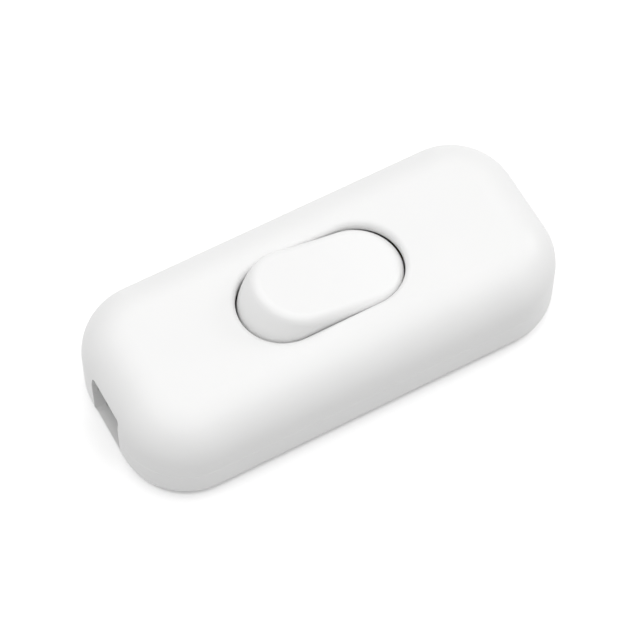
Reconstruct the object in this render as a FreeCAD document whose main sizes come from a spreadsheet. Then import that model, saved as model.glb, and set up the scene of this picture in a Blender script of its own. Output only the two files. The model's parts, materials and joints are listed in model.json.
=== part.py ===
import FreeCAD, Part
import math
import os
import Sketcher

# Inline cord switch: two moulded housing halves, a rocker and a double-pole seesaw contact set.
# X runs along the cord, Y across it, Z up. The origin is the middle of the flat underside.

doc = FreeCAD.newDocument("InlineCordSwitch")

# Driving sizes, in millimetres and degrees
driving_sizes = {
    "body_length": "62.0",
    "body_width": "27.2",
    "body_height": "14.6",
    "corner_radius": "9.1",
    "top_radius": "6.3",
    "base_radius": "2.9",
    "parting_height": "6.1",
    "seam_bevel": "0.05",
    "wall": "1.6",
    "base_floor": "1.8",
    "lip_height": "1.3",
    "lip_thickness": "0.75",
    "lip_clearance": "0.1",
    "notch_width": "7.3",
    "notch_top": "10.1",
    "notch_corner": "0.6",
    "opening_length": "23.0",
    "opening_width": "12.2",
    "opening_edge": "0.7",
    "rocker_gap": "0.15",
    "rocker_rise": "4.8",
    "rocker_dish": "0.6",
    "rocker_edge": "1.3",
    "rocker_top": "1.9",
    "rocker_wall": "1.0",
    "rocker_skirt": "1.2",
    "rocker_tilt": "15.0",
    "rocker_stop_gap": "0.2",
    "pivot_depth": "3.1",
    "trunnion_radius": "1.1",
    "trunnion_length": "2.1",
    "pivot_clearance": "0.06",
    "tower_gap": "0.35",
    "tower_thickness": "2.0",
    "tower_width": "4.6",
    "keeper_gap": "0.15",
    "keeper_inset": "0.2",
    "pole_offset": "2.7",
    "plunger_radius": "1.1",
    "plunger_length": "4.3",
    "plunger_nose_radius": "0.55",
    "plunger_nose_height": "0.7",
    "plunger_clearance": "0.08",
    "tube_wall": "0.8",
    "tube_reach": "1.4",
    "tip_reach": "4.5",
    "tip_gap": "0.06",
    "spring_wire": "0.32",
    "spring_turns": "5.0",
    "spring_seat_gap": "0.05",
    "blade_width": "2.4",
    "blade_thickness": "0.7",
    "blade_tilt": "6.0",
    "contact_arm": "6.5",
    "tail_arm": "4.6",
    "ear_clearance": "0.06",
    "cheek_gap": "0.2",
    "cheek_length": "3.0",
    "cheek_rise": "0.7",
    "contact_radius": "1.05",
    "contact_height": "0.5",
    "contact_crown": "0.15",
    "rivet_radius": "0.5",
    "rivet_upset": "0.25",
    "rivet_upset_radius": "0.8",
    "rivet_clearance": "0.03",
    "contact_gap": "0.1",
    "tail_gap": "0.15",
    "strip_thickness": "0.8",
    "bend_radius": "0.3",
    "seat_overhang": "0.4",
    "riser_gap": "0.4",
    "terminal_width": "4.2",
    "block_length": "6.0",
    "block_height": "5.2",
    "wire_hole_radius": "1.3",
    "wire_hole_rise": "2.2",
    "terminal_screw_radius": "1.45",
    "terminal_screw_length": "3.6",
    "terminal_head_radius": "1.95",
    "terminal_head_height": "1.4",
    "screw_clearance": "0.05",
    "partition_thickness": "0.8",
    "partition_rise": "8.8",
    "rib_thickness": "0.8",
    "rib_height": "1.6",
    "rib_clearance": "0.1",
    "clamp_setback": "6.2",
    "clamp_width": "4.2",
    "clamp_length": "17.2",
    "clamp_thickness": "2.0",
    "clamp_belly": "0.7",
    "clamp_corner": "1.5",
    "clamp_post_spacing": "12.8",
    "clamp_post_radius": "2.2",
    "clamp_headroom": "1.0",
    "clamp_screw_radius": "1.4",
    "clamp_screw_length": "6.2",
    "clamp_head_radius": "1.9",
    "clamp_head_height": "1.3",
    "ridge_height": "1.7",
    "ridge_width": "0.9",
    "ridge_spacing": "2.6",
    "boss_radius": "2.4",
    "boss_wall": "0.7",
    "boss_joint": "4.8",
    "boss_gap": "0.1",
    "housing_screw_radius": "1.3",
    "housing_screw_length": "8.0",
    "housing_head_radius": "2.2",
    "housing_head_height": "1.7",
    "counterbore_clearance": "0.2",
    "counterbore_depth": "2.1",
    "screw_head_edge": "0.4",
    "screw_point": "0.5",
    "recess_length": "2.4",
    "recess_width": "0.6",
    "recess_depth": "0.8",
}

sheet = doc.addObject("Spreadsheet::Sheet", "Sizes")
for row, alias in enumerate(driving_sizes, start=1):
    cell = "A%d" % row
    sheet.set(cell, driving_sizes[alias])
    sheet.setAlias(cell, alias)
doc.recompute()


class Size:
    """A length or angle: its present value, and the expression that binds it to the sheet."""

    def __init__(self, value, text):
        self.value = value
        self.text = text

    def __add__(self, other):
        other = as_size(other)
        return Size(self.value + other.value, "(%s + %s)" % (self.text, other.text))

    def __sub__(self, other):
        other = as_size(other)
        return Size(self.value - other.value, "(%s - %s)" % (self.text, other.text))

    def __mul__(self, other):
        other = as_size(other)
        return Size(self.value * other.value, "(%s * %s)" % (self.text, other.text))

    def __truediv__(self, other):
        other = as_size(other)
        return Size(self.value / other.value, "(%s / %s)" % (self.text, other.text))

    def __neg__(self):
        return Size(-self.value, "(0 - %s)" % self.text)


def as_size(number):
    if isinstance(number, Size):
        return number
    if number < 0:
        return Size(float(number), "(0 - %s)" % abs(number))
    return Size(float(number), str(number))


def given(alias):
    return Size(float(getattr(sheet, alias)), "Sizes." + alias)


def root(size):
    return Size(math.sqrt(size.value), "sqrt(%s)" % size.text)


def lesser(first, second):
    return Size(min(first.value, second.value), "min(%s; %s)" % (first.text, second.text))


def sine(angle):
    return Size(math.sin(math.radians(angle.value)), "sin(%s)" % angle.text)


def cosine(angle):
    return Size(math.cos(math.radians(angle.value)), "cos(%s)" % angle.text)


# Sizes that follow from the driving ones
zero = as_size(0)
# How far a moulded feature runs into the wall or floor that carries it
rooted = as_size(0.4)
# How far a cut runs past the face it opens
past = as_size(1)
# How near a point must lie to an edge's place to count as on it
near = 1e-3
half_length = given("body_length") / 2
half_width = given("body_width") / 2
body_height = given("body_height")
corner = given("corner_radius")
wall = given("wall")
base_floor = given("base_floor")
parting = given("parting_height")
lip_height = given("lip_height")
top_underside = body_height - wall
pivot_z = body_height - given("pivot_depth")

opening_half_length = given("opening_length") / 2
opening_half_width = given("opening_width") / 2
rocker_half_width = opening_half_width - given("rocker_gap")
underside_above_pivot = given("pivot_depth") - wall
opening_reach = opening_half_length - given("rocker_gap")
rocker_swing = root(opening_reach * opening_reach + underside_above_pivot * underside_above_pivot)
rocker_end_centre = rocker_swing - rocker_half_width
rocker_rise = given("rocker_rise")
rocker_skirt = given("rocker_skirt")
rocker_ceiling = rocker_rise - given("rocker_top")
# The rocker's top is dished along its length, on an arc through its two upper ends
dish = given("rocker_dish")
dish_half_chord_squared = rocker_swing * rocker_swing - rocker_rise * rocker_rise
dish_radius = (dish_half_chord_squared + dish * dish) / (dish * 2)
dish_centre = rocker_rise - dish + dish_radius
ceiling_reach = root(rocker_swing * rocker_swing - rocker_ceiling * rocker_ceiling)
skirt_reach = root(rocker_swing * rocker_swing - rocker_skirt * rocker_skirt)
tilt = given("rocker_tilt")
skirt_low = pivot_z - skirt_reach * sine(tilt) - rocker_skirt * cosine(tilt)
partition_low = skirt_low - given("rocker_stop_gap")

trunnion_radius = given("trunnion_radius")
trunnion_end = rocker_half_width + given("trunnion_length")
slot_radius = trunnion_radius + given("pivot_clearance")
tower_inner = rocker_half_width + given("tower_gap")
tower_outer = tower_inner + given("tower_thickness")
tower_top = pivot_z + trunnion_radius

pole_offset = given("pole_offset")
plunger_radius = given("plunger_radius")
bore_radius = plunger_radius + given("plunger_clearance")
tube_radius = bore_radius + given("tube_wall")
tip_reach = given("tip_reach")
plunger_shoulder = given("plunger_length") - tip_reach

blade_half = given("blade_thickness") / 2
blade_z = pivot_z - tip_reach - given("tip_gap") - blade_half
blade_tilt = given("blade_tilt")
contact_arm = given("contact_arm")
tail_arm = given("tail_arm")
contact_radius = given("contact_radius")
contact_height = given("contact_height")
contact_drop = (contact_arm + contact_radius) * sine(blade_tilt)
closed_face = blade_z - contact_drop - (blade_half + contact_height) * cosine(blade_tilt)
seat_top = closed_face - given("contact_gap") - contact_height
tail_end = given("blade_width") / 2
tail_low = blade_z - blade_half - (tail_arm + tail_end) * sine(blade_tilt)
tail_stop = tail_low - given("tail_gap")

# The clamps hang from the end walls and from the crown, which their screw heads clear
clamp_x = half_length - wall - given("clamp_setback")
clamp_post_y = given("clamp_post_spacing") / 2
clamp_face = top_underside - given("clamp_headroom") - given("clamp_head_height")
clamp_seat = clamp_face - given("clamp_thickness")
clamp_pilot = given("clamp_screw_radius") + given("screw_clearance")

# The terminal blocks stand midway between the rocker's swing and the clamp posts
strip_top = base_floor + given("strip_thickness")
terminal_half = given("terminal_width") / 2
block_half = given("block_length") / 2
block_centre = (rocker_swing + clamp_x - given("clamp_post_radius")) / 2
block_inner = block_centre - block_half
block_outer = block_centre + block_half
block_top = base_floor + given("block_height")
wire_z = base_floor + given("wire_hole_rise")
wire_top = wire_z + given("wire_hole_radius")
tapped_radius = given("terminal_screw_radius") + given("screw_clearance")

boss_joint = given("boss_joint")
boss_foot = boss_joint + given("boss_gap")
housing_pilot = given("housing_screw_radius") + given("screw_clearance")
counterbore_radius = given("housing_head_radius") + given("counterbore_clearance")
counterbore_depth = given("counterbore_depth")
lower_boss_radius = counterbore_radius + given("boss_wall")
rib_inner = pole_offset + terminal_half + given("rib_clearance")
boss_x = block_centre
boss_y = rib_inner + lower_boss_radius
upset_radius = given("rivet_upset_radius")

left_and_right = (-1, 1)
front_and_rear = ((-1, "front"), (1, "rear"))


# Sketch and feature helpers
def new_body(label):
    body = doc.addObject("PartDesign::Body", label)
    body.Label = label
    return body


def new_sketch(body, role, lift=None):
    sketch = body.newObject("Sketcher::SketchObject", body.Label + "_sketch")
    for plane in body.Origin.OriginFeatures:
        if plane.Role == role:
            sketch.AttachmentSupport = [(plane, "")]
    sketch.MapMode = "FlatFace"
    if lift is not None:
        sketch.setExpression("AttachmentOffset.Base.z", lift.text)
    return sketch


def bind(sketch, size, *constraint):
    index = sketch.addConstraint(Sketcher.Constraint(*constraint, size.value))
    sketch.setExpression("Constraints[%d]" % index, size.text)


def pin(sketch, geometry, point, x, y):
    """Hold one point at a bound distance from the sketch origin."""
    bind(sketch, x, "DistanceX", -1, 1, geometry, point)
    bind(sketch, y, "DistanceY", -1, 1, geometry, point)


def spot(x, y):
    return FreeCAD.Vector(x.value, y.value, 0)


def add_arc(sketch, centre, radius, start, end):
    axis = FreeCAD.Vector(0, 0, 1)
    ring = Part.Circle(centre, axis, radius)
    return sketch.addGeometry(Part.ArcOfCircle(ring, math.radians(start), math.radians(end)), False)


def add_line(sketch, start, end):
    return sketch.addGeometry(Part.LineSegment(start, end), False)


def join(sketch, first, first_point, second, second_point):
    sketch.addConstraint(Sketcher.Constraint("Coincident", first, first_point, second, second_point))


def circle(sketch, x, y, radius):
    axis = FreeCAD.Vector(0, 0, 1)
    ring = sketch.addGeometry(Part.Circle(spot(x, y), axis, radius.value), False)
    pin(sketch, ring, 3, x, y)
    bind(sketch, radius, "Radius", ring)


def outline(sketch, corners):
    """A closed outline of straight sides through the corners, each held at its place."""
    count = len(corners)
    sides = []
    for index in range(count):
        here = corners[index]
        after = corners[(index + 1) % count]
        sides.append(add_line(sketch, spot(*here), spot(*after)))
    for index in range(count):
        pin(sketch, sides[index], 1, *corners[index])
        join(sketch, sides[index], 2, sides[(index + 1) % count], 1)


def rectangle(sketch, x_low, y_low, x_high, y_high):
    outline(sketch, [(x_low, y_low), (x_high, y_low), (x_high, y_high), (x_low, y_high)])


def obround(sketch, x_low, x_high, y, radius):
    """Two parallel sides and two half-round ends, whose centres are at x_low and x_high."""
    right_end = add_arc(sketch, spot(x_high, y), radius.value, -90, 90)
    left_end = add_arc(sketch, spot(x_low, y), radius.value, 90, 270)
    upper = add_line(sketch, spot(x_high, y + radius), spot(x_low, y + radius))
    lower = add_line(sketch, spot(x_low, y - radius), spot(x_high, y - radius))
    for end, x in ((right_end, x_high), (left_end, x_low)):
        pin(sketch, end, 3, x, y)
        bind(sketch, radius, "Radius", end)
        sketch.addConstraint(Sketcher.Constraint("Vertical", end, 3, end, 1))
        sketch.addConstraint(Sketcher.Constraint("Vertical", end, 3, end, 2))
    join(sketch, right_end, 2, upper, 1)
    join(sketch, upper, 2, left_end, 1)
    join(sketch, left_end, 2, lower, 1)
    join(sketch, lower, 2, right_end, 1)


def rounded_rectangle(sketch, x_low, y_low, x_high, y_high, radius):
    """Four sides and four round corners, the corner centres held at their places."""
    centres = (
        (x_high - radius, y_high - radius, 0),
        (x_low + radius, y_high - radius, 90),
        (x_low + radius, y_low + radius, 180),
        (x_high - radius, y_low + radius, 270),
    )
    rounds = []
    for x, y, start in centres:
        bend = add_arc(sketch, spot(x, y), radius.value, start, start + 90)
        pin(sketch, bend, 3, x, y)
        bind(sketch, radius, "Radius", bend)
        first, second = ("Horizontal", "Vertical") if start in (0, 180) else ("Vertical", "Horizontal")
        sketch.addConstraint(Sketcher.Constraint(first, bend, 3, bend, 1))
        sketch.addConstraint(Sketcher.Constraint(second, bend, 3, bend, 2))
        rounds.append(bend)
    for index in range(4):
        here = sketch.Geometry[rounds[index]].EndPoint
        after = sketch.Geometry[rounds[(index + 1) % 4]].StartPoint
        side = add_line(sketch, here, after)
        join(sketch, rounds[index], 2, side, 1)
        join(sketch, side, 2, rounds[(index + 1) % 4], 1)


def body_outline(sketch, inset):
    """The plan of the switch body, moved in by the inset."""
    x = half_length - inset
    y = half_width - inset
    rounded_rectangle(sketch, -x, -y, x, y, corner - inset)


def settle(body, feature, grows):
    """Recompute and make sure that the feature added or removed material."""
    before = body.Shape.Volume if not body.Shape.isNull() else 0.0
    doc.recompute()
    after = body.Shape.Volume
    change = after - before if grows else before - after
    if change <= 0:
        raise RuntimeError("%s changed nothing in %s" % (feature.Name, body.Label))
    return feature


def pad(body, sketch, length, reverse=False, centred=False):
    feature = body.newObject("PartDesign::Pad", body.Label + "_pad")
    feature.Profile = sketch
    feature.setExpression("Length", length.text)
    feature.Reversed = reverse
    feature.Midplane = centred
    return settle(body, feature, True)


def pocket(body, sketch, length=None, reverse=False, centred=False):
    feature = body.newObject("PartDesign::Pocket", body.Label + "_pocket")
    feature.Profile = sketch
    if length is None:
        feature.Type = "ThroughAll"
    else:
        feature.setExpression("Length", length.text)
    feature.Reversed = reverse
    feature.Midplane = centred
    return settle(body, feature, False)


def revolve(body, sketch, axis):
    feature = body.newObject("PartDesign::Revolution", body.Label + "_revolution")
    feature.Profile = sketch
    feature.ReferenceAxis = (sketch, [axis])
    feature.Angle = 360
    return settle(body, feature, True)


def edges_where(body, test):
    names = []
    for index, edge in enumerate(body.Shape.Edges, start=1):
        points = [vertex.Point for vertex in edge.Vertexes]
        middle = edge.valueAt((edge.FirstParameter + edge.LastParameter) / 2)
        if all(test(point) for point in points + [middle]):
            names.append("Edge%d" % index)
    return names


def soften(body, kind, names, property_name, size):
    """Fillet or chamfer the named edges of the body."""
    base = body.Tip
    feature = body.newObject("PartDesign::" + kind, body.Label + "_" + kind.lower())
    feature.Base = (base, names)
    feature.setExpression(property_name, size.text)
    body.Tip = feature
    doc.recompute()
    return feature


def at_height(level):
    return lambda point: abs(point.z - level.value) < near


def edges_along(body, x, z):
    """The edges that run across the body at one place of its side profile."""
    return edges_where(body, lambda point: abs(point.x - x.value) < near and at_height(z)(point))


def inside_distance(point):
    """How far a point lies inside the plan of the body."""
    across_x = abs(point.x) - (half_length - corner).value
    across_y = abs(point.y) - (half_width - corner).value
    beyond = math.hypot(max(across_x, 0), max(across_y, 0))
    return corner.value - beyond - min(max(across_x, across_y), 0)


def place(body, x, y, z, axis=None, angle=None):
    if angle is not None:
        turn = FreeCAD.Rotation(axis, angle.value)
        body.Placement = FreeCAD.Placement(FreeCAD.Vector(x.value, y.value, z.value), turn)
        body.setExpression("Placement.Rotation.Angle", angle.text)
    body.setExpression("Placement.Base.x", x.text)
    body.setExpression("Placement.Base.y", y.text)
    body.setExpression("Placement.Base.z", z.text)
    doc.recompute()


across = FreeCAD.Vector(0, 1, 0)
along = FreeCAD.Vector(1, 0, 0)
half_turn = as_size(180)


# Upper housing: a deep shell with a flat crown, large top rounds and the rocker opening
def build_upper_housing():
    body = new_body("upper_housing")
    plan = new_sketch(body, "XY_Plane", parting)
    body_outline(plan, zero)
    pad(body, plan, body_height - parting)
    soften(body, "Fillet", edges_where(body, at_height(body_height)), "Radius", given("top_radius"))

    open_faces = []
    for index, face in enumerate(body.Shape.Faces, start=1):
        if face.BoundBox.ZMax < parting.value + near:
            open_faces.append("Face%d" % index)
    rounded_block = body.Tip
    shell = body.newObject("PartDesign::Thickness", "upper_housing_shell")
    shell.Base = (rounded_block, open_faces)
    shell.setExpression("Value", wall.text)
    shell.Reversed = True
    body.Tip = shell
    doc.recompute()

    def outer_rim(point):
        return at_height(parting)(point) and abs(inside_distance(point)) < near

    soften(body, "Chamfer", edges_where(body, outer_rim), "Size", given("seam_bevel"))

    rebate = new_sketch(body, "XY_Plane", parting)
    body_outline(rebate, wall - given("lip_thickness") - given("lip_clearance"))
    pocket(body, rebate, lip_height + given("lip_clearance"), reverse=True)

    notch_half = given("notch_width") / 2
    notch = new_sketch(body, "YZ_Plane")
    foot = parting - past
    rounded_rectangle(notch, -notch_half, foot, notch_half, given("notch_top"), given("notch_corner"))
    pocket(body, notch, centred=True)

    opening = new_sketch(body, "XY_Plane", body_height)
    straight = opening_half_length - opening_half_width
    obround(opening, -straight, straight, zero, opening_half_width)
    pocket(body, opening, wall + past)

    def opening_rim(point):
        within_length = abs(point.x) < opening_half_length.value + near
        within_width = abs(point.y) < opening_half_width.value + near
        return at_height(body_height)(point) and within_length and within_width

    soften(body, "Fillet", edges_where(body, opening_rim), "Radius", given("opening_edge"))

    bosses = new_sketch(body, "XY_Plane", boss_foot)
    circle(bosses, -boss_x, -boss_y, given("boss_radius"))
    circle(bosses, boss_x, boss_y, given("boss_radius"))
    pad(body, bosses, top_underside - boss_foot + rooted)

    pilots = new_sketch(body, "XY_Plane", boss_foot)
    circle(pilots, -boss_x, -boss_y, housing_pilot)
    circle(pilots, boss_x, boss_y, housing_pilot)
    pocket(body, pilots, given("housing_screw_length"), reverse=True)

    keeper_inset = given("keeper_inset")
    keeper_half = slot_radius - keeper_inset
    keeper_foot = tower_top + given("keeper_gap")
    keepers = new_sketch(body, "XY_Plane", keeper_foot)
    inner_face = tower_inner + keeper_inset
    outer_face = tower_outer - keeper_inset
    rectangle(keepers, -keeper_half, inner_face, keeper_half, outer_face)
    rectangle(keepers, -keeper_half, -outer_face, keeper_half, -inner_face)
    pad(body, keepers, top_underside - keeper_foot + rooted)
    return body


# Lower housing: a tray that carries the rocker towers, terminals, clamp posts and screw bosses
def build_lower_housing():
    body = new_body("lower_housing")
    plan = new_sketch(body, "XY_Plane")
    body_outline(plan, zero)
    pad(body, plan, parting)
    soften(body, "Fillet", edges_where(body, at_height(zero)), "Radius", given("base_radius"))
    soften(body, "Chamfer", edges_where(body, at_height(parting)), "Size", given("seam_bevel"))

    hollow = new_sketch(body, "XY_Plane", parting)
    body_outline(hollow, wall)
    pocket(body, hollow, parting - base_floor)

    lip = new_sketch(body, "XY_Plane", parting)
    body_outline(lip, wall - given("lip_thickness"))
    body_outline(lip, wall)
    pad(body, lip, lip_height)

    notch_half = given("notch_width") / 2
    notch = new_sketch(body, "YZ_Plane")
    head = parting + lip_height + past
    rounded_rectangle(notch, -notch_half, base_floor, notch_half, head, given("notch_corner"))
    pocket(body, notch, centred=True)

    tower_half = given("tower_width") / 2
    root_z = base_floor - rooted
    slab = new_sketch(body, "XZ_Plane")
    rectangle(slab, -tower_half, root_z, tower_half, tower_top)
    pad(body, slab, tower_outer * 2, centred=True)
    between = new_sketch(body, "XZ_Plane")
    rectangle(between, -tower_half - past, base_floor, tower_half + past, tower_top + past)
    pocket(body, between, tower_inner * 2, centred=True)
    bearing = new_sketch(body, "XZ_Plane")
    circle(bearing, zero, pivot_z, slot_radius)
    pocket(body, bearing, centred=True)
    slot = new_sketch(body, "XZ_Plane")
    rectangle(slot, -slot_radius, pivot_z, slot_radius, tower_top + past)
    pocket(body, slot, centred=True)

    shoulder = (rocker_swing + block_inner) / 2
    partition_top = base_floor + given("partition_rise")
    partition = new_sketch(body, "XZ_Plane")
    outline(partition, [
        (-block_outer, root_z),
        (block_outer, root_z),
        (block_outer, partition_top),
        (shoulder, partition_top),
        (shoulder, partition_low),
        (-shoulder, partition_low),
        (-shoulder, partition_top),
        (-block_outer, partition_top),
    ])
    pad(body, partition, given("partition_thickness"), centred=True)

    posts = new_sketch(body, "XY_Plane", root_z)
    for end in left_and_right:
        for side in left_and_right:
            circle(posts, clamp_x * end, clamp_post_y * side, given("clamp_post_radius"))
    pad(body, posts, clamp_seat - root_z)
    post_pilots = new_sketch(body, "XY_Plane", clamp_seat)
    for end in left_and_right:
        for side in left_and_right:
            circle(post_pilots, clamp_x * end, clamp_post_y * side, clamp_pilot)
    pocket(body, post_pilots, given("clamp_screw_length") - given("clamp_thickness") + past / 2)

    ridge_half = given("ridge_width") / 2
    ridges = new_sketch(body, "XY_Plane", root_z)
    for end in left_and_right:
        for step in left_and_right:
            middle = clamp_x * end + given("ridge_spacing") / 2 * step
            rectangle(ridges, middle - ridge_half, -clamp_post_y, middle + ridge_half, clamp_post_y)
    pad(body, ridges, given("ridge_height") + rooted)

    rib_outer = rib_inner + given("rib_thickness")
    rib_half = block_half - given("rib_thickness")
    ribs = new_sketch(body, "XY_Plane", root_z)
    for end in left_and_right:
        middle = block_centre * end
        rectangle(ribs, middle - rib_half, rib_inner, middle + rib_half, rib_outer)
        rectangle(ribs, middle - rib_half, -rib_outer, middle + rib_half, -rib_inner)
    pad(body, ribs, given("rib_height") + rooted)

    pedestal_half = contact_radius
    pedestals = new_sketch(body, "XY_Plane", root_z)
    for side in left_and_right:
        middle = pole_offset * side
        rectangle(
            pedestals,
            contact_arm - contact_radius,
            middle - pedestal_half,
            contact_arm + contact_radius,
            middle + pedestal_half,
        )
    pedestal_top = seat_top - given("strip_thickness")
    pad(body, pedestals, pedestal_top - root_z)
    rivet_pits = new_sketch(body, "XY_Plane", pedestal_top)
    for side in left_and_right:
        circle(rivet_pits, contact_arm, pole_offset * side, upset_radius + given("rivet_clearance"))
    pocket(body, rivet_pits, given("rivet_upset") + given("rivet_clearance"))

    bosses = new_sketch(body, "XY_Plane", root_z)
    circle(bosses, -boss_x, -boss_y, lower_boss_radius)
    circle(bosses, boss_x, boss_y, lower_boss_radius)
    pad(body, bosses, boss_joint - root_z)
    for depth, radius in (
        (counterbore_depth, counterbore_radius),
        (boss_joint + past, housing_pilot + given("screw_clearance")),
    ):
        holes = new_sketch(body, "XY_Plane")
        circle(holes, -boss_x, -boss_y, radius)
        circle(holes, boss_x, boss_y, radius)
        pocket(body, holes, depth, reverse=True)
    return body


# Rocker: the obround plan turned about the pivot, so that its ends keep their gap as it swings
def build_rocker():
    body = new_body("rocker")
    half = rocker_half_width
    profile = new_sketch(body, "XY_Plane")
    end = add_arc(profile, spot(rocker_end_centre, zero), half.value, -90, 90)
    upper = add_line(profile, spot(rocker_end_centre, half), spot(zero, half))
    middle = add_line(profile, spot(zero, half), spot(zero, -half))
    lower = add_line(profile, spot(zero, -half), spot(rocker_end_centre, -half))
    pin(profile, end, 3, rocker_end_centre, zero)
    bind(profile, half, "Radius", end)
    profile.addConstraint(Sketcher.Constraint("Vertical", end, 3, end, 1))
    profile.addConstraint(Sketcher.Constraint("Vertical", end, 3, end, 2))
    pin(profile, middle, 1, zero, half)
    pin(profile, middle, 2, zero, -half)
    join(profile, end, 2, upper, 1)
    join(profile, upper, 2, middle, 1)
    join(profile, middle, 2, lower, 1)
    join(profile, lower, 2, end, 1)
    revolve(body, profile, "V_Axis")

    limits = new_sketch(body, "XZ_Plane")
    far = rocker_swing + past
    circle(limits, zero, dish_centre, dish_radius)
    rectangle(limits, -far, -far, far, -rocker_skirt)
    pocket(body, limits, centred=True)

    def on_dish(point):
        return abs(math.hypot(point.x, point.z - dish_centre.value) - dish_radius.value) < near

    soften(body, "Fillet", edges_where(body, on_dish), "Radius", given("rocker_edge"))

    inner_half = half - given("rocker_wall")
    inner_centre = ceiling_reach - given("rocker_wall") - inner_half
    hollow = new_sketch(body, "XY_Plane", -rocker_skirt)
    obround(hollow, -inner_centre, inner_centre, zero, inner_half)
    pocket(body, hollow, rocker_skirt + rocker_ceiling, reverse=True)

    tubes = new_sketch(body, "XY_Plane", -given("tube_reach"))
    circle(tubes, zero, -pole_offset, tube_radius)
    circle(tubes, zero, pole_offset, tube_radius)
    pad(body, tubes, given("tube_reach") + rocker_ceiling + rooted)

    axle = new_sketch(body, "XZ_Plane")
    circle(axle, zero, zero, trunnion_radius)
    pad(body, axle, trunnion_end * 2, centred=True)

    bores = new_sketch(body, "XY_Plane", -given("tube_reach"))
    circle(bores, zero, -pole_offset, bore_radius)
    circle(bores, zero, pole_offset, bore_radius)
    pocket(body, bores, given("tube_reach") + rocker_ceiling, reverse=True)
    place(body, zero, zero, pivot_z, across, tilt)
    return body


# Plunger: a round-tipped pin with a nose for the spring
def build_plunger(side, name):
    body = new_body("plunger_" + name)
    dome_z = plunger_radius - tip_reach
    nose_top = plunger_shoulder + given("plunger_nose_height")
    nose = given("plunger_nose_radius")
    profile = new_sketch(body, "XZ_Plane")
    dome = add_arc(profile, spot(zero, dome_z), plunger_radius.value, -90, 0)
    pin(profile, dome, 3, zero, dome_z)
    bind(profile, plunger_radius, "Radius", dome)
    profile.addConstraint(Sketcher.Constraint("Vertical", dome, 3, dome, 1))
    profile.addConstraint(Sketcher.Constraint("Horizontal", dome, 3, dome, 2))
    corners = (
        (plunger_radius, plunger_shoulder),
        (nose, plunger_shoulder),
        (nose, nose_top),
        (zero, nose_top),
    )
    earlier = dome
    here = spot(plunger_radius, dome_z)
    for corner_point in corners:
        side_line = add_line(profile, here, spot(*corner_point))
        pin(profile, side_line, 2, *corner_point)
        join(profile, earlier, 2, side_line, 1)
        earlier = side_line
        here = spot(*corner_point)
    axis_line = add_line(profile, here, spot(zero, -tip_reach))
    join(profile, earlier, 2, axis_line, 1)
    join(profile, axis_line, 2, dome, 1)
    revolve(body, profile, "V_Axis")
    place(body, zero, pole_offset * side, pivot_z, across, tilt)
    return body


# Plunger spring: a coil between the plunger's shoulder and the end of its guide tube
def build_spring(side, name):
    body = new_body("plunger_spring_" + name)
    wire_radius = given("spring_wire") / 2
    mean_radius = plunger_radius - given("spring_wire")
    foot = plunger_shoulder + wire_radius + given("spring_seat_gap")
    head = rocker_ceiling - wire_radius - given("spring_seat_gap")
    wire = new_sketch(body, "XZ_Plane")
    circle(wire, mean_radius, foot, wire_radius)
    coil = body.newObject("PartDesign::AdditiveHelix", body.Label + "_coil")
    coil.Profile = wire
    coil.ReferenceAxis = (wire, ["V_Axis"])
    coil.Mode = "height-turns-angle"
    coil.setExpression("Height", (head - foot).text)
    coil.setExpression("Turns", given("spring_turns").text)
    doc.recompute()
    place(body, zero, pole_offset * side, pivot_z, across, tilt)
    return body


# Contact blade: a flat strip with round ears that rocks in its cradle
def build_blade(side, name):
    body = new_body("contact_blade_" + name)
    plan = new_sketch(body, "XY_Plane")
    obround(plan, -tail_arm, contact_arm, zero, given("blade_width") / 2)
    pad(body, plan, given("blade_thickness"), centred=True)
    ears = new_sketch(body, "XZ_Plane")
    circle(ears, zero, zero, blade_half)
    pad(body, ears, given("terminal_width"), centred=True)
    hole = new_sketch(body, "XY_Plane")
    circle(hole, contact_arm, zero, given("rivet_radius") + given("rivet_clearance"))
    pocket(body, hole, centred=True)
    place(body, zero, pole_offset * side, blade_z, across, -blade_tilt)
    return body


# Contact rivet: a broad contact face, a shank through the strip and an upset end
def build_rivet(label, grip):
    body = new_body(label)
    rivet = given("rivet_radius")
    end = grip + given("rivet_upset")
    crown = given("contact_crown")
    profile = new_sketch(body, "XZ_Plane")
    outline(profile, [
        (zero, -contact_height),
        (contact_radius - crown, -contact_height),
        (contact_radius, crown - contact_height),
        (contact_radius, zero),
        (rivet, zero),
        (rivet, grip),
        (upset_radius, grip),
        (rivet, end),
        (zero, end),
    ])
    revolve(body, profile, "V_Axis")
    return body


def build_moving_contact(side, name):
    body = build_rivet("moving_contact_" + name, given("blade_thickness"))
    drop = blade_half * cosine(blade_tilt)
    x = contact_arm * cosine(blade_tilt) + blade_half * sine(blade_tilt)
    z = blade_z + contact_arm * sine(blade_tilt) - drop
    place(body, x, pole_offset * side, z, across, -blade_tilt)
    return body


def build_fixed_contact(side, name):
    body = build_rivet("fixed_contact_" + name, given("strip_thickness"))
    place(body, contact_arm, pole_offset * side, seat_top, along, half_turn)
    return body


def bore_block(body, end):
    """Wire hole and tapped hole of a terminal's pillar block."""
    wire = new_sketch(body, "YZ_Plane", block_centre * end)
    circle(wire, zero, wire_z, given("wire_hole_radius"))
    pocket(body, wire, given("block_length") + past, centred=True)
    tapped = new_sketch(body, "XY_Plane", block_top)
    circle(tapped, block_centre * end, zero, tapped_radius)
    pocket(body, tapped, block_top - wire_z)


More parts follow.
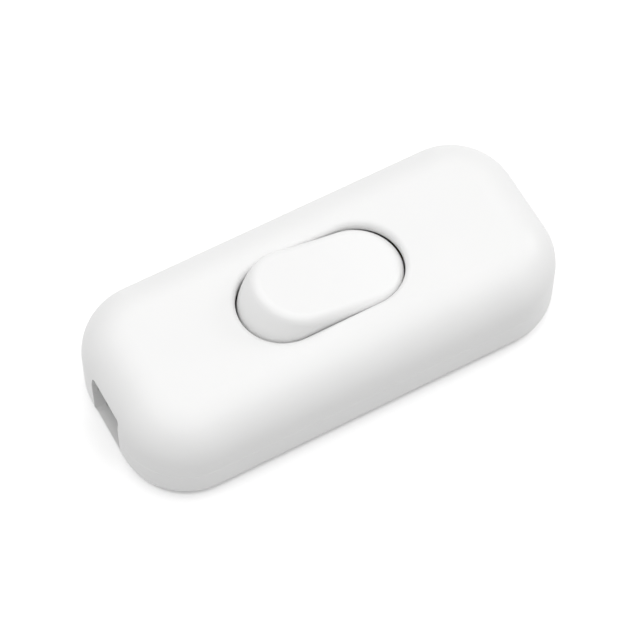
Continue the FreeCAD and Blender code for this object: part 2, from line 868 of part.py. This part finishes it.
# Line terminal: pillar block, strip, stop tab for the blade's tail and the cradle for its ears
def build_line_terminal(side, name):
    body = new_body("line_terminal_" + name)
    cheek_half = given("cheek_length") / 2
    cheek_top = blade_z + given("cheek_rise")
    tab_half = given("strip_thickness") / 2
    profile = new_sketch(body, "XZ_Plane")
    outline(profile, [
        (-block_outer, base_floor),
        (cheek_half, base_floor),
        (cheek_half, cheek_top),
        (-cheek_half, cheek_top),
        (-cheek_half, strip_top),
        (tab_half - tail_arm, strip_top),
        (tab_half - tail_arm, tail_stop),
        (-tail_arm - tab_half, tail_stop),
        (-tail_arm - tab_half, strip_top),
        (-block_inner, strip_top),
        (-block_inner, block_top),
        (-block_outer, block_top),
    ])
    pad(body, profile, given("terminal_width"), centred=True)
    cradle = new_sketch(body, "XZ_Plane")
    rectangle(cradle, -cheek_half - past / 2, strip_top, cheek_half + past / 2, cheek_top + past)
    pocket(body, cradle, given("blade_width") + given("cheek_gap") * 2, centred=True)
    ear_radius = blade_half + given("ear_clearance")
    bearing = new_sketch(body, "XZ_Plane")
    circle(bearing, zero, blade_z, ear_radius)
    pocket(body, bearing, centred=True)
    slot = new_sketch(body, "XZ_Plane")
    rectangle(slot, -ear_radius, blade_z, ear_radius, cheek_top + past)
    pocket(body, slot, centred=True)
    bore_block(body, -1)
    place(body, zero, pole_offset * side, zero)
    return body


# Load terminal: pillar block, strip and the raised seat of the fixed contact
def build_load_terminal(side, name):
    body = new_body("load_terminal_" + name)
    thickness = given("strip_thickness")
    seat_start = contact_arm - contact_radius - given("seat_overhang")
    riser_inner = contact_arm + contact_radius + given("riser_gap")
    riser = riser_inner + thickness
    seat_underside = seat_top - thickness
    riser_height = seat_top - strip_top
    inner_bend = lesser(given("bend_radius"), riser_height / 5)
    outer_bend = lesser(given("bend_radius") + thickness, riser_height * 0.65)
    profile = new_sketch(body, "XZ_Plane")
    outline(profile, [
        (block_outer, base_floor),
        (block_outer, block_top),
        (block_inner, block_top),
        (block_inner, strip_top),
        (riser, strip_top),
        (riser, seat_top),
        (seat_start, seat_top),
        (seat_start, seat_underside),
        (riser_inner, seat_underside),
        (riser_inner, base_floor),
    ])
    pad(body, profile, given("terminal_width"), centred=True)
    inner_bends = edges_along(body, riser, strip_top) + edges_along(body, riser_inner, seat_underside)
    soften(body, "Fillet", inner_bends, "Radius", inner_bend)
    outer_bends = edges_along(body, riser, seat_top) + edges_along(body, riser_inner, base_floor)
    soften(body, "Fillet", outer_bends, "Radius", outer_bend)
    hole = new_sketch(body, "XY_Plane", seat_top)
    circle(hole, contact_arm, zero, given("rivet_radius") + given("rivet_clearance"))
    pocket(body, hole, thickness + past / 2)
    bore_block(body, 1)
    place(body, zero, pole_offset * side, zero)
    return body


# Screw: head above the origin, shank below it, cross recess in the head
def build_screw(label, head_radius, head_height, shank_radius, shank_length):
    body = new_body(label)
    edge = given("screw_head_edge")
    point = given("screw_point")
    profile = new_sketch(body, "XZ_Plane")
    outline(profile, [
        (zero, -shank_length),
        (shank_radius - point, -shank_length),
        (shank_radius, point - shank_length),
        (shank_radius, zero),
        (head_radius, zero),
        (head_radius, head_height - edge),
        (head_radius - edge, head_height),
        (zero, head_height),
    ])
    revolve(body, profile, "V_Axis")
    reach = given("recess_length") / 2
    half = given("recess_width") / 2
    recess = new_sketch(body, "XY_Plane", head_height)
    outline(recess, [
        (reach, -half),
        (reach, half),
        (half, half),
        (half, reach),
        (-half, reach),
        (-half, half),
        (-reach, half),
        (-reach, -half),
        (-half, -half),
        (-half, -reach),
        (half, -reach),
        (half, -half),
    ])
    pocket(body, recess, given("recess_depth"))
    return body


def group(label, members):
    bundle = doc.addObject("Part::Compound", label)
    bundle.Label = label
    bundle.Links = members
    doc.recompute()
    return bundle


def build_terminal_screws():
    screws = []
    for end in left_and_right:
        for side in left_and_right:
            screw = build_screw(
                "terminal_screw",
                given("terminal_head_radius"),
                given("terminal_head_height"),
                given("terminal_screw_radius"),
                given("terminal_screw_length"),
            )
            head = wire_top + given("terminal_screw_length")
            place(screw, block_centre * end, pole_offset * side, head)
            screws.append(screw)
    return group("terminal_screws", screws)


def build_clamp_screws():
    screws = []
    for end in left_and_right:
        for side in left_and_right:
            screw = build_screw(
                "clamp_screw",
                given("clamp_head_radius"),
                given("clamp_head_height"),
                given("clamp_screw_radius"),
                given("clamp_screw_length"),
            )
            place(screw, clamp_x * end, clamp_post_y * side, clamp_face)
            screws.append(screw)
    return group("clamp_screws", screws)


def build_housing_screws():
    screws = []
    for end in left_and_right:
        screw = build_screw(
            "housing_screw",
            given("housing_head_radius"),
            given("housing_head_height"),
            given("housing_screw_radius"),
            given("housing_screw_length"),
        )
        place(screw, boss_x * end, boss_y * end, counterbore_depth, along, half_turn)
        screws.append(screw)
    return group("housing_screws", screws)


# Cord clamp: a bar across two posts, with a belly that bears on the cord
def build_cord_clamp(end, name):
    body = new_body("cord_clamp_" + name)
    half = given("clamp_length") / 2
    belly = given("clamp_belly")
    belly_root = clamp_post_y - given("clamp_post_radius")
    profile = new_sketch(body, "YZ_Plane")
    outline(profile, [
        (-half, zero),
        (-belly_root, zero),
        (belly - belly_root, -belly),
        (belly_root - belly, -belly),
        (belly_root, zero),
        (half, zero),
        (half, given("clamp_thickness")),
        (-half, given("clamp_thickness")),
    ])
    pad(body, profile, given("clamp_width"), centred=True)

    def upright_corner(point):
        at_end = abs(abs(point.y) - half.value) < near
        at_side = abs(abs(point.x) - given("clamp_width").value / 2) < near
        return at_end and at_side

    soften(body, "Fillet", edges_where(body, upright_corner), "Radius", given("clamp_corner"))
    holes = new_sketch(body, "XY_Plane", given("clamp_thickness"))
    for side in left_and_right:
        circle(holes, zero, clamp_post_y * side, clamp_pilot)
    pocket(body, holes, given("clamp_thickness") + past)
    place(body, clamp_x * end, zero, clamp_seat)
    return body


sub_parts = [build_upper_housing(), build_lower_housing(), build_rocker()]
for side, name in front_and_rear:
    sub_parts.append(build_plunger(side, name))
    sub_parts.append(build_spring(side, name))
    sub_parts.append(build_blade(side, name))
    sub_parts.append(build_moving_contact(side, name))
    sub_parts.append(build_line_terminal(side, name))
    sub_parts.append(build_load_terminal(side, name))
    sub_parts.append(build_fixed_contact(side, name))
sub_parts.append(build_terminal_screws())
sub_parts.append(build_cord_clamp(-1, "left"))
sub_parts.append(build_cord_clamp(1, "right"))
sub_parts.append(build_clamp_screws())
sub_parts.append(build_housing_screws())

doc.recompute()
for item in doc.Objects:
    if "Invalid" in item.State or "Error" in item.State:
        raise RuntimeError("%s did not rebuild: %s" % (item.Name, item.State))
for sub_part in sub_parts:
    if sub_part.Shape.isNull() or not sub_part.Shape.isValid():
        raise RuntimeError("%s has no valid shape" % sub_part.Label)

os.makedirs("parts", exist_ok=True)
for sub_part in sub_parts:
    sub_part.Shape.exportStep("parts/%s.step" % sub_part.Label)
    print(sub_part.Label, len(sub_part.Shape.Solids), "solid", round(sub_part.Shape.Volume, 2), "mm3")
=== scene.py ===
import json
import math

import bpy
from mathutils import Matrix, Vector


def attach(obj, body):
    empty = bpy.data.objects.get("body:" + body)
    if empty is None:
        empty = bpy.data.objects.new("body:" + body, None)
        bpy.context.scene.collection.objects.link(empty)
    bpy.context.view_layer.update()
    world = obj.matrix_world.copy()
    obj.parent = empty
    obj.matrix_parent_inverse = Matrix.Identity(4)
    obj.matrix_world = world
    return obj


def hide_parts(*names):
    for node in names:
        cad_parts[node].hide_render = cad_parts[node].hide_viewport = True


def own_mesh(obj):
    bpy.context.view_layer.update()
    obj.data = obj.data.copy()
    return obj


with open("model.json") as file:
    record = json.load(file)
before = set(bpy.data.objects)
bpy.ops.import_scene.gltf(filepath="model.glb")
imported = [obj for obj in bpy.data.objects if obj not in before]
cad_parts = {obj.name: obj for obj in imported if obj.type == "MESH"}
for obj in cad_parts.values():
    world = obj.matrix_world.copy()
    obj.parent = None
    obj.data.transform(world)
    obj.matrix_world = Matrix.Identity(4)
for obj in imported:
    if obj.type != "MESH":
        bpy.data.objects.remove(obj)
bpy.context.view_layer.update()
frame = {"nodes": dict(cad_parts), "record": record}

scene = bpy.context.scene
scene.view_settings.view_transform = "Standard"

millimetre = 0.001
white = (1.0, 1.0, 1.0, 1.0)


# Camera, at the viewing angle of the photograph
azimuth = math.radians(-28.56)
elevation = math.radians(60.8)
camera_distance = 383.5 * millimetre
sensor_width = 36.0
focal_length = 164.6
aim_up = 2.307 * millimetre
aim_left = 0.072 * millimetre
nearest_seen = 0.01
farthest_seen = 20.0

back = Vector((
    math.sin(azimuth) * math.cos(elevation),
    -math.cos(azimuth) * math.cos(elevation),
    math.sin(elevation),
))
rightward = Vector((math.cos(azimuth), math.sin(azimuth), 0.0))
upward = rightward.cross(-back)
aim = upward * aim_up - rightward * aim_left

camera_data = bpy.data.cameras.new("camera")
camera_data.sensor_width = sensor_width
camera_data.lens = focal_length
camera_data.clip_start = nearest_seen
camera_data.clip_end = farthest_seen
camera = bpy.data.objects.new("camera", camera_data)
scene.collection.objects.link(camera)
camera.location = back * camera_distance
camera.rotation_mode = "QUATERNION"
camera.rotation_quaternion = (aim - camera.location).to_track_quat("-Z", "Y")
scene.camera = camera


# Node helpers
noise_low = 0.3
noise_high = 0.7


def new_material(name):
    material = bpy.data.materials.new(name)
    material.use_nodes = True
    nodes = material.node_tree.nodes
    nodes.clear()
    output = nodes.new("ShaderNodeOutputMaterial")
    shader = nodes.new("ShaderNodeBsdfPrincipled")
    link(material, shader.outputs["BSDF"], output.inputs["Surface"])
    return material, shader


def link(material, source, target):
    material.node_tree.links.new(source, target)


def object_coordinates(material, stretch=(1.0, 1.0, 1.0)):
    """Object space in metres, scaled along each axis."""
    nodes = material.node_tree.nodes
    coordinates = nodes.new("ShaderNodeTexCoord")
    mapping = nodes.new("ShaderNodeMapping")
    mapping.inputs["Scale"].default_value = stretch
    link(material, coordinates.outputs["Object"], mapping.inputs["Vector"])
    return mapping.outputs["Vector"]


def noise(material, vector, feature, detail=3.0, roughness=0.5):
    """Smooth noise whose features are about the given size, in metres."""
    texture = material.node_tree.nodes.new("ShaderNodeTexNoise")
    texture.inputs["Scale"].default_value = 1.0 / feature
    texture.inputs["Detail"].default_value = detail
    texture.inputs["Roughness"].default_value = roughness
    link(material, vector, texture.inputs["Vector"])
    return texture.outputs["Fac"]


def spread(material, value, low, high):
    """Map a noise value on to a range."""
    node = material.node_tree.nodes.new("ShaderNodeMapRange")
    node.inputs["From Min"].default_value = noise_low
    node.inputs["From Max"].default_value = noise_high
    node.inputs["To Min"].default_value = low
    node.inputs["To Max"].default_value = high
    link(material, value, node.inputs["Value"])
    return node.outputs["Result"]


def between(material, value, first, second):
    """A colour that runs from the first to the second as a noise value rises."""
    ramp = material.node_tree.nodes.new("ShaderNodeValToRGB")
    start, end = ramp.color_ramp.elements
    start.position = noise_low
    start.color = (*first, 1.0)
    end.position = noise_high
    end.color = (*second, 1.0)
    link(material, value, ramp.inputs["Fac"])
    return ramp.outputs["Color"]


def bump(material, height, depth, strength, below=None):
    """A normal from a height, laid over another normal if there is one below."""
    node = material.node_tree.nodes.new("ShaderNodeBump")
    node.inputs["Distance"].default_value = depth
    node.inputs["Strength"].default_value = strength
    link(material, height, node.inputs["Height"])
    if below is not None:
        link(material, below, node.inputs["Normal"])
    return node.outputs["Normal"]


# Moulded plastic: a cloudy tint, patches of gloss, a fine tool texture and a slow sink wave
tint_size = 9.0 * millimetre
patch_size = 3.5 * millimetre
grain_size = 0.16 * millimetre
grain_strength = 0.35
sink_size = 14.0 * millimetre
sink_depth = 0.05 * millimetre
sink_strength = 0.3
plastic_index = 1.52


def moulded_plastic(name, pale, deep, smooth, rough, grain_depth):
    material, shader = new_material(name)
    place = object_coordinates(material)
    tint = noise(material, place, tint_size)
    patches = noise(material, place, patch_size)
    grain = noise(material, place, grain_size, detail=2.0)
    sink = noise(material, place, sink_size, detail=1.0)
    link(material, between(material, tint, deep, pale), shader.inputs["Base Color"])
    link(material, spread(material, patches, smooth, rough), shader.inputs["Roughness"])
    wave = bump(material, sink, sink_depth, sink_strength)
    surface = bump(material, grain, grain_depth, grain_strength, wave)
    link(material, surface, shader.inputs["Normal"])
    shader.inputs["IOR"].default_value = plastic_index
    return material


# Metal strip, wire or screw: drawn scratches along one axis and a patchy tarnish
tarnish_size = 2.2 * millimetre
scratch_depth = 0.01 * millimetre
scratch_strength = 0.25


def worked_metal(name, bright, dull, smooth, rough, stretch, scratch):
    material, shader = new_material(name)
    place = object_coordinates(material)
    drawn = object_coordinates(material, stretch)
    tarnish = noise(material, place, tarnish_size, detail=4.0)
    lines = noise(material, drawn, scratch, detail=4.0, roughness=0.6)
    link(material, between(material, tarnish, dull, bright), shader.inputs["Base Color"])
    link(material, spread(material, lines, smooth, rough), shader.inputs["Roughness"])
    surface = bump(material, lines, scratch_depth, scratch_strength)
    link(material, surface, shader.inputs["Normal"])
    shader.inputs["Metallic"].default_value = 1.0
    return material


# Materials, one for each slot of the record
along_strip = (0.06, 1.0, 1.0)
along_wire = (0.5, 0.5, 1.0)
every_way = (1.0, 1.0, 1.0)

plastics = {
    "housing_white": {
        "pale": (0.870, 0.870, 0.866),
        "deep": (0.858, 0.858, 0.855),
        "smooth": 0.37,
        "rough": 0.39,
        "grain_depth": 0.006 * millimetre,
    },
    "rocker_white": {
        "pale": (0.885, 0.885, 0.881),
        "deep": (0.873, 0.873, 0.870),
        "smooth": 0.31,
        "rough": 0.33,
        "grain_depth": 0.004 * millimetre,
    },
    "clamp_grey": {
        "pale": (0.590, 0.590, 0.570),
        "deep": (0.545, 0.545, 0.530),
        "smooth": 0.50,
        "rough": 0.62,
        "grain_depth": 0.012 * millimetre,
    },
    "plunger_natural": {
        "pale": (0.800, 0.760, 0.640),
        "deep": (0.765, 0.720, 0.600),
        "smooth": 0.38,
        "rough": 0.48,
        "grain_depth": 0.004 * millimetre,
    },
}
metals = {
    "blade_brass": {
        "bright": (0.830, 0.610, 0.270),
        "dull": (0.700, 0.480, 0.190),
        "smooth": 0.22,
        "rough": 0.40,
        "stretch": along_strip,
        "scratch": 0.05 * millimetre,
    },
    "terminal_brass": {
        "bright": (0.860, 0.660, 0.320),
        "dull": (0.740, 0.530, 0.230),
        "smooth": 0.24,
        "rough": 0.44,
        "stretch": along_strip,
        "scratch": 0.06 * millimetre,
    },
    "contact_silver": {
        "bright": (0.900, 0.890, 0.860),
        "dull": (0.760, 0.740, 0.690),
        "smooth": 0.16,
        "rough": 0.32,
        "stretch": every_way,
        "scratch": 0.08 * millimetre,
    },
    "screw_steel": {
        "bright": (0.720, 0.720, 0.700),
        "dull": (0.600, 0.605, 0.590),
        "smooth": 0.24,
        "rough": 0.42,
        "stretch": every_way,
        "scratch": 0.10 * millimetre,
    },
    "spring_steel": {
        "bright": (0.560, 0.560, 0.570),
        "dull": (0.440, 0.440, 0.450),
        "smooth": 0.20,
        "rough": 0.36,
        "stretch": along_wire,
        "scratch": 0.05 * millimetre,
    },
}

materials = {}
for slot_name, look in plastics.items():
    materials[slot_name] = moulded_plastic(slot_name, **look)
for slot_name, look in metals.items():
    materials[slot_name] = worked_metal(slot_name, **look)

slot_of = {part["node"]: part["material_slot"] for part in frame["record"]["subparts"]}
for node_name, node_object in frame["nodes"].items():
    material = materials[slot_of[node_name]]
    if not node_object.material_slots:
        node_object.data.materials.append(material)
    for slot in node_object.material_slots:
        slot.material = material


for pole, side in (("front", -1.0), ("rear", 1.0)):
    node_name = "plunger_spring_" + pole
    coil = bpy.data.objects.new("coil_" + pole, frame["nodes"][node_name].data.copy())
    scene.collection.objects.link(coil)
    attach(coil, "rocker_button")
    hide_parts(node_name)
    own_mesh(coil)


# Helpers for the floor and the room
def combine(tree, operation, first, second):
    """The result of a math operation on two sockets."""
    node = tree.nodes.new("ShaderNodeMath")
    node.operation = operation
    tree.links.new(first, node.inputs[0])
    tree.links.new(second, node.inputs[1])
    return node.outputs[0]


def seen_directly(tree):
    """1 for rays from the camera and for reflections, 0 for the light that falls on the object."""
    path = tree.nodes.new("ShaderNodeLightPath")
    camera_or_glossy = combine(
        tree, "MAXIMUM", path.outputs["Is Camera Ray"], path.outputs["Is Glossy Ray"]
    )
    return combine(tree, "MAXIMUM", camera_or_glossy, path.outputs["Is Transmission Ray"])


def by_sight(tree, unseen, seen):
    """One value for light that falls on the object, another for what is seen directly."""
    node = tree.nodes.new("ShaderNodeMapRange")
    node.inputs["To Min"].default_value = unseen
    node.inputs["To Max"].default_value = seen
    tree.links.new(seen_directly(tree), node.inputs["Value"])
    return node.outputs["Result"]


# Floor: white to the camera, with the shadow of the object left in it. From below it isn't there,
# neither for the view nor for the light that reaches what is seen through it
floor_half = 1.5
floor_drop = 0.02 * millimetre
floor_tone = 1.0
floor_bounce = 0.50
floor_white = 0.22
contact_reach = 0.8 * millimetre
contact_sharpness = 6.0

floor_mesh = bpy.data.meshes.new("floor")
floor_corners = [
    (-floor_half, -floor_half, -floor_drop),
    (floor_half, -floor_half, -floor_drop),
    (floor_half, floor_half, -floor_drop),
    (-floor_half, floor_half, -floor_drop),
]
floor_mesh.from_pydata(floor_corners, [], [(0, 1, 2, 3)])
floor = bpy.data.objects.new("floor", floor_mesh)
scene.collection.objects.link(floor)

floor_material = bpy.data.materials.new("floor_paper")
floor_material.use_nodes = True
floor_tree = floor_material.node_tree
floor_tree.nodes.clear()

paper = floor_tree.nodes.new("ShaderNodeBsdfDiffuse")
floor_tree.links.new(by_sight(floor_tree, floor_bounce, floor_tone), paper.inputs["Color"])

glow = floor_tree.nodes.new("ShaderNodeEmission")
glow.inputs["Color"].default_value = white
# Painted contact shade: ambient occlusion dims the white glow to a thin dark line where the object
# meets the floor
contact = floor_tree.nodes.new("ShaderNodeAmbientOcclusion")
contact.inputs["Distance"].default_value = contact_reach
painted_contact_shade = floor_tree.nodes.new("ShaderNodeMath")
painted_contact_shade.operation = "POWER"
painted_contact_shade.inputs[1].default_value = contact_sharpness
floor_tree.links.new(contact.outputs["AO"], painted_contact_shade.inputs[0])
glow_strength = combine(
    floor_tree, "MULTIPLY", by_sight(floor_tree, 0.0, floor_white), painted_contact_shade.outputs[0]
)
floor_tree.links.new(glow_strength, glow.inputs["Strength"])

lit = floor_tree.nodes.new("ShaderNodeAddShader")
floor_tree.links.new(paper.outputs["BSDF"], lit.inputs[0])
floor_tree.links.new(glow.outputs["Emission"], lit.inputs[1])

clear = floor_tree.nodes.new("ShaderNodeBsdfTransparent")
geometry = floor_tree.nodes.new("ShaderNodeNewGeometry")
light_path = floor_tree.nodes.new("ShaderNodeLightPath")
from_below = combine(
    floor_tree, "MAXIMUM", geometry.outputs["Backfacing"], light_path.outputs["Transparent Depth"]
)
one_sided = floor_tree.nodes.new("ShaderNodeMixShader")
floor_tree.links.new(from_below, one_sided.inputs["Fac"])
floor_tree.links.new(lit.outputs["Shader"], one_sided.inputs[1])
floor_tree.links.new(clear.outputs["BSDF"], one_sided.inputs[2])
floor_output = floor_tree.nodes.new("ShaderNodeOutputMaterial")
floor_tree.links.new(one_sided.outputs["Shader"], floor_output.inputs["Surface"])
floor_mesh.materials.append(floor_material)


# Light: a white room, a very wide soft box overhead and a weak lamp low on the right
room_strength = 0.59
room_white = 1.0
overhead_place = (0.0, 0.0, 1.80)
overhead_size = 3.20
overhead_power = 26.5
right_place = (1.55, 0.0, 0.91)
right_size = 0.70
right_power = 3.6

world = bpy.data.worlds.new("room")
scene.world = world
world.use_nodes = True
room_tree = world.node_tree
room_tree.nodes.clear()
background = room_tree.nodes.new("ShaderNodeBackground")
background.inputs["Color"].default_value = white
room_tree.links.new(by_sight(room_tree, room_strength, room_white), background.inputs["Strength"])
room_output = room_tree.nodes.new("ShaderNodeOutputWorld")
room_tree.links.new(background.outputs["Background"], room_output.inputs["Surface"])


def soft_lamp(name, place, size, power):
    """A square soft box that faces the switch."""
    data = bpy.data.lights.new(name, "AREA")
    data.shape = "SQUARE"
    data.size = size
    data.energy = power
    lamp = bpy.data.objects.new(name, data)
    scene.collection.objects.link(lamp)
    lamp.location = place
    lamp.rotation_mode = "QUATERNION"
    lamp.rotation_quaternion = (-Vector(place)).to_track_quat("-Z", "Y")


soft_lamp("overhead", overhead_place, overhead_size, overhead_power)
soft_lamp("right", right_place, right_size, right_power)
